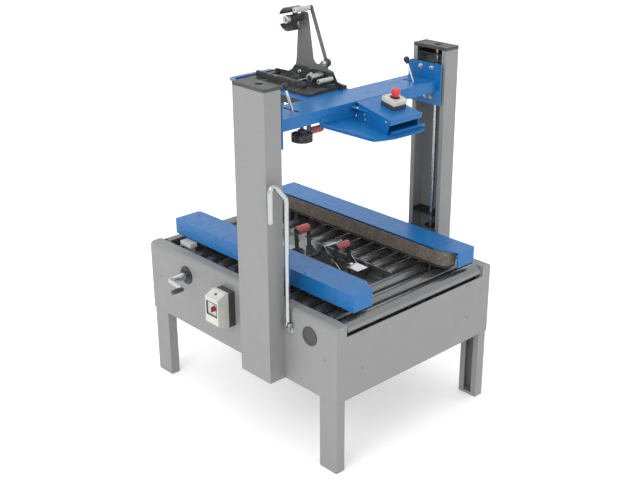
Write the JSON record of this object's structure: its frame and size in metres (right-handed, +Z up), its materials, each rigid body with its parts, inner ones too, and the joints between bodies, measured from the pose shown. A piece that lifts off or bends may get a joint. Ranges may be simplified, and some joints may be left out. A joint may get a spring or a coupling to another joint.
{
  "type": "carton sealer",
  "caption": "Floor-standing carton sealer with side drive belts over a roller bed, a lower taping head, and an upper taping head on a crossbeam between columns.",
  "frame": {"origin": "on the floor, under the centre of the machine's overall box", "axes": "+Y is the direction cartons travel in, +X is to the right seen from the infeed end, +Z is up"},
  "size_m": [0.962, 1.025, 1.4395],
  "materials": {
    "grey_paint": "satin",
    "blue_paint": "gloss",
    "dark_paint": "satin",
    "arm_paint": "satin",
    "steel": "brushed",
    "chrome": "polished",
    "red_rubber": "satin",
    "black_rubber": "matte",
    "belt": "matte",
    "cream_plastic": "matte",
    "dark_plastic": "matte",
    "red_plastic": "gloss",
    "white_plastic": "satin"
  },
  "bodies": {
    "frame": {"left_side_panel": "grey_paint", "right_side_panel": "grey_paint", "infeed_end_panel": "grey_paint", "outfeed_end_panel": "grey_paint", "legs": "grey_paint", "left_column": "grey_paint", "right_column": "grey_paint", "column_caps": "dark_paint", "bed_rails": "steel", "split_rollers": "steel", "guide_rods": "steel", "frame_fittings": "chrome", "switch_base": "dark_plastic", "switch_cover": "cream_plastic", "bottom_head_chassis": "dark_paint"},
    "top_head": {"crossbeam": "blue_paint", "handle_box": "blue_paint", "estop_box": "cream_plastic", "top_head_chassis": "dark_paint", "reel_arm": "arm_paint"},
    "left_belt_unit": {"left_belt_cover": "blue_paint", "left_belt_carriage": "dark_paint", "left_belt": "belt"},
    "right_belt_unit": {"right_belt_cover": "blue_paint", "right_belt_carriage": "dark_paint", "right_belt": "belt"},
    "width_screw": {"width_screw": "steel", "width_crank": "chrome"},
    "width_crank_grip": {"width_crank_grip": "dark_plastic"},
    "height_crank": {"height_crank": "chrome"},
    "switch_knob": {"switch_knob": "red_plastic"},
    "left_lead_screw": {"left_lead_screw": "chrome"},
    "right_lead_screw": {"right_lead_screw": "chrome"},
    "infeed_roller_1": {"infeed_roller_1": "steel"},
    "infeed_roller_2": {"infeed_roller_2": "steel"},
    "infeed_roller_3": {"infeed_roller_3": "steel"},
    "outfeed_roller": {"outfeed_roller": "steel"},
    "left_drive_pulley": {"left_drive_pulley": "steel"},
    "right_drive_pulley": {"right_drive_pulley": "steel"},
    "left_idler_pulley": {"left_idler_pulley": "steel"},
    "right_idler_pulley": {"right_idler_pulley": "steel"},
    "estop_button": {"estop_button": "red_plastic"},
    "left_lock_lever": {"left_lock_lever": "steel"},
    "right_lock_lever": {"right_lock_lever": "steel"},
    "left_press_wheel": {"left_press_wheel": "black_rubber"},
    "right_press_wheel": {"right_press_wheel": "black_rubber"},
    "tape_mandrel": {"tape_mandrel": "dark_paint"},
    "reel_guide_roller": {"reel_guide_roller": "white_plastic"},
    "tube_roller": {"tube_roller": "steel"},
    "tension_roller": {"tension_roller": "white_plastic"},
    "top_front_arm": {"top_front_arm": "dark_paint"},
    "top_front_roller": {"top_front_roller": "red_rubber"},
    "top_rear_arm": {"top_rear_arm": "dark_paint"},
    "top_rear_roller": {"top_rear_roller": "red_rubber"},
    "top_cutter": {"top_cutter": "chrome"},
    "bottom_front_arm": {"bottom_front_arm": "dark_paint"},
    "bottom_front_roller": {"bottom_front_roller": "red_rubber"},
    "bottom_rear_arm": {"bottom_rear_arm": "dark_paint"},
    "bottom_rear_roller": {"bottom_rear_roller": "red_rubber"},
    "bottom_cutter": {"bottom_cutter": "chrome"}
  },
  "joints": [
    {"name": "head_lift", "type": "slide", "parent": "frame", "child": "top_head", "axis": [0, 0, 1], "range_m": [-0.38, 0.04]},
    {"name": "belt_width", "type": "slide", "parent": "frame", "child": "left_belt_unit", "axis": [1, 0, 0], "range_m": [-0.075, 0.112]},
    {"name": "right_belt_slide", "type": "slide", "parent": "frame", "child": "right_belt_unit", "axis": [1, 0, 0], "range_m": [-0.112, 0.075]},
    {"name": "width_screw_spin", "type": "hinge", "parent": "frame", "child": "width_screw", "pos_m": [0.026, 0.286, 0.476], "axis": [1, 0, 0], "continuous": true},
    {"name": "left_lead_screw_spin", "type": "hinge", "parent": "frame", "child": "left_lead_screw", "pos_m": [-0.392, -0.195, 0.9], "axis": [0, 0, 1], "continuous": true},
    {"name": "right_lead_screw_spin", "type": "hinge", "parent": "frame", "child": "right_lead_screw", "pos_m": [0.444, -0.195, 0.9], "axis": [0, 0, 1], "continuous": true},
    {"name": "height_crank_swing", "type": "hinge", "parent": "frame", "child": "height_crank", "pos_m": [-0.372, -0.29, 0.49], "axis": [0, 1, 0], "range_deg": [-60, 0]},
    {"name": "crank_grip_spin", "type": "hinge", "parent": "width_screw", "child": "width_crank_grip", "pos_m": [-0.454, 0.212, 0.468], "axis": [1, 0, 0], "continuous": true},
    {"name": "switch_turn", "type": "hinge", "parent": "frame", "child": "switch_knob", "pos_m": [-0.438, 0.027, 0.455], "axis": [1, 0, 0], "range_deg": [0, 90]},
    {"name": "estop_press", "type": "slide", "parent": "top_head", "child": "estop_button", "axis": [0, 0.2079, -0.9781], "range_m": [0, 0.005], "stiffness_N_per_m": 2000},
    {"name": "left_lever_swing", "type": "hinge", "parent": "top_head", "child": "left_lock_lever", "pos_m": [-0.234, -0.183, 1.14], "axis": [1, 0, 0], "range_deg": [0, 45]},
    {"name": "right_lever_swing", "type": "hinge", "parent": "top_head", "child": "right_lock_lever", "pos_m": [0.333, -0.193, 1.14], "axis": [1, 0, 0], "range_deg": [0, 45]},
    {"name": "left_wheel_spin", "type": "hinge", "parent": "top_head", "child": "left_press_wheel", "pos_m": [-0.224, -0.204, 1.071], "axis": [0, 0, 1], "continuous": true},
    {"name": "right_wheel_spin", "type": "hinge", "parent": "top_head", "child": "right_press_wheel", "pos_m": [0.224, -0.204, 1.071], "axis": [0, 0, 1], "continuous": true},
    {"name": "top_front_arm_swing", "type": "hinge", "parent": "top_head", "child": "top_front_arm", "pos_m": [0.026, -0.047, 1.109], "axis": [1, 0, 0], "range_deg": [0, 53], "stiffness_Nm_per_rad": 2.5},
    {"name": "top_rear_arm_swing", "type": "hinge", "parent": "top_head", "child": "top_rear_arm", "pos_m": [0.026, 0.168, 1.109], "axis": [1, 0, 0], "range_deg": [0, 53]},
    {"name": "top_front_roller_spin", "type": "hinge", "parent": "top_front_arm", "child": "top_front_roller", "pos_m": [0.026, 0.003, 1.014], "axis": [1, 0, 0], "continuous": true},
    {"name": "top_rear_roller_spin", "type": "hinge", "parent": "top_rear_arm", "child": "top_rear_roller", "pos_m": [0.026, 0.218, 1.014], "axis": [1, 0, 0], "continuous": true},
    {"name": "top_cutter_swing", "type": "hinge", "parent": "top_head", "child": "top_cutter", "pos_m": [0.026, -0.047, 1.109], "axis": [1, 0, 0], "range_deg": [0, 30], "stiffness_Nm_per_rad": 1.5},
    {"name": "bottom_front_arm_swing", "type": "hinge", "parent": "frame", "child": "bottom_front_arm", "pos_m": [0.026, -0.189, 0.518], "axis": [1, 0, 0], "range_deg": [-53, 0], "stiffness_Nm_per_rad": 2.5},
    {"name": "bottom_rear_arm_swing", "type": "hinge", "parent": "frame", "child": "bottom_rear_arm", "pos_m": [0.026, 0.026, 0.518], "axis": [1, 0, 0], "range_deg": [-53, 0]},
    {"name": "bottom_front_roller_spin", "type": "hinge", "parent": "bottom_front_arm", "child": "bottom_front_roller", "pos_m": [0.026, -0.139, 0.613], "axis": [1, 0, 0], "continuous": true},
    {"name": "bottom_rear_roller_spin", "type": "hinge", "parent": "bottom_rear_arm", "child": "bottom_rear_roller", "pos_m": [0.026, 0.076, 0.613], "axis": [1, 0, 0], "continuous": true},
    {"name": "bottom_cutter_swing", "type": "hinge", "parent": "frame", "child": "bottom_cutter", "pos_m": [0.026, -0.189, 0.518], "axis": [1, 0, 0], "range_deg": [-30, 0], "stiffness_Nm_per_rad": 1.5},
    {"name": "mandrel_spin", "type": "hinge", "parent": "top_head", "child": "tape_mandrel", "pos_m": [0.026, 0.108, 1.393], "axis": [1, 0, 0], "continuous": true},
    {"name": "guide_roller_spin", "type": "hinge", "parent": "top_head", "child": "reel_guide_roller", "pos_m": [0.026, 0.068, 1.43], "axis": [1, 0, 0], "continuous": true},
    {"name": "tube_roller_spin", "type": "hinge", "parent": "top_head", "child": "tube_roller", "pos_m": [0.026, -0.001, 1.205], "axis": [1, 0, 0], "continuous": true},
    {"name": "tension_roller_spin", "type": "hinge", "parent": "top_head", "child": "tension_roller", "pos_m": [0.026, -0.05, 1.201], "axis": [1, 0, 0], "continuous": true},
    {"name": "left_drive_spin", "type": "hinge", "parent": "left_belt_unit", "child": "left_drive_pulley", "pos_m": [-0.196, 0.388, 0.6], "axis": [0, 0, 1], "continuous": true},
    {"name": "left_idler_spin", "type": "hinge", "parent": "left_belt_unit", "child": "left_idler_pulley", "pos_m": [-0.196, -0.425, 0.6], "axis": [0, 0, 1], "continuous": true},
    {"name": "right_drive_spin", "type": "hinge", "parent": "right_belt_unit", "child": "right_drive_pulley", "pos_m": [0.248, 0.388, 0.6], "axis": [0, 0, 1], "continuous": true},
    {"name": "right_idler_spin", "type": "hinge", "parent": "right_belt_unit", "child": "right_idler_pulley", "pos_m": [0.248, -0.425, 0.6], "axis": [0, 0, 1], "continuous": true},
    {"name": "infeed_roller_1_spin", "type": "hinge", "parent": "frame", "child": "infeed_roller_1", "pos_m": [0.026, -0.481, 0.523], "axis": [1, 0, 0], "continuous": true},
    {"name": "infeed_roller_2_spin", "type": "hinge", "parent": "frame", "child": "infeed_roller_2", "pos_m": [0.026, -0.4165, 0.523], "axis": [1, 0, 0], "continuous": true},
    {"name": "infeed_roller_3_spin", "type": "hinge", "parent": "frame", "child": "infeed_roller_3", "pos_m": [0.026, -0.352, 0.523], "axis": [1, 0, 0], "continuous": true},
    {"name": "outfeed_roller_spin", "type": "hinge", "parent": "frame", "child": "outfeed_roller", "pos_m": [0.026, 0.481, 0.523], "axis": [1, 0, 0], "continuous": true}
  ],
  "couplings": [
    {"joint": "right_belt_slide", "follows": "belt_width", "ratio": -1},
    {"joint": "width_screw_spin", "follows": "belt_width", "rad_per_m": 314.16},
    {"joint": "left_lead_screw_spin", "follows": "head_lift", "rad_per_m": 314.16},
    {"joint": "right_lead_screw_spin", "follows": "head_lift", "rad_per_m": 314.16},
    {"joint": "top_rear_arm_swing", "follows": "top_front_arm_swing", "ratio": 1},
    {"joint": "bottom_rear_arm_swing", "follows": "bottom_front_arm_swing", "ratio": 1},
    {"joint": "left_idler_spin", "follows": "left_drive_spin", "ratio": 1},
    {"joint": "right_idler_spin", "follows": "right_drive_spin", "ratio": 1}
  ]
}
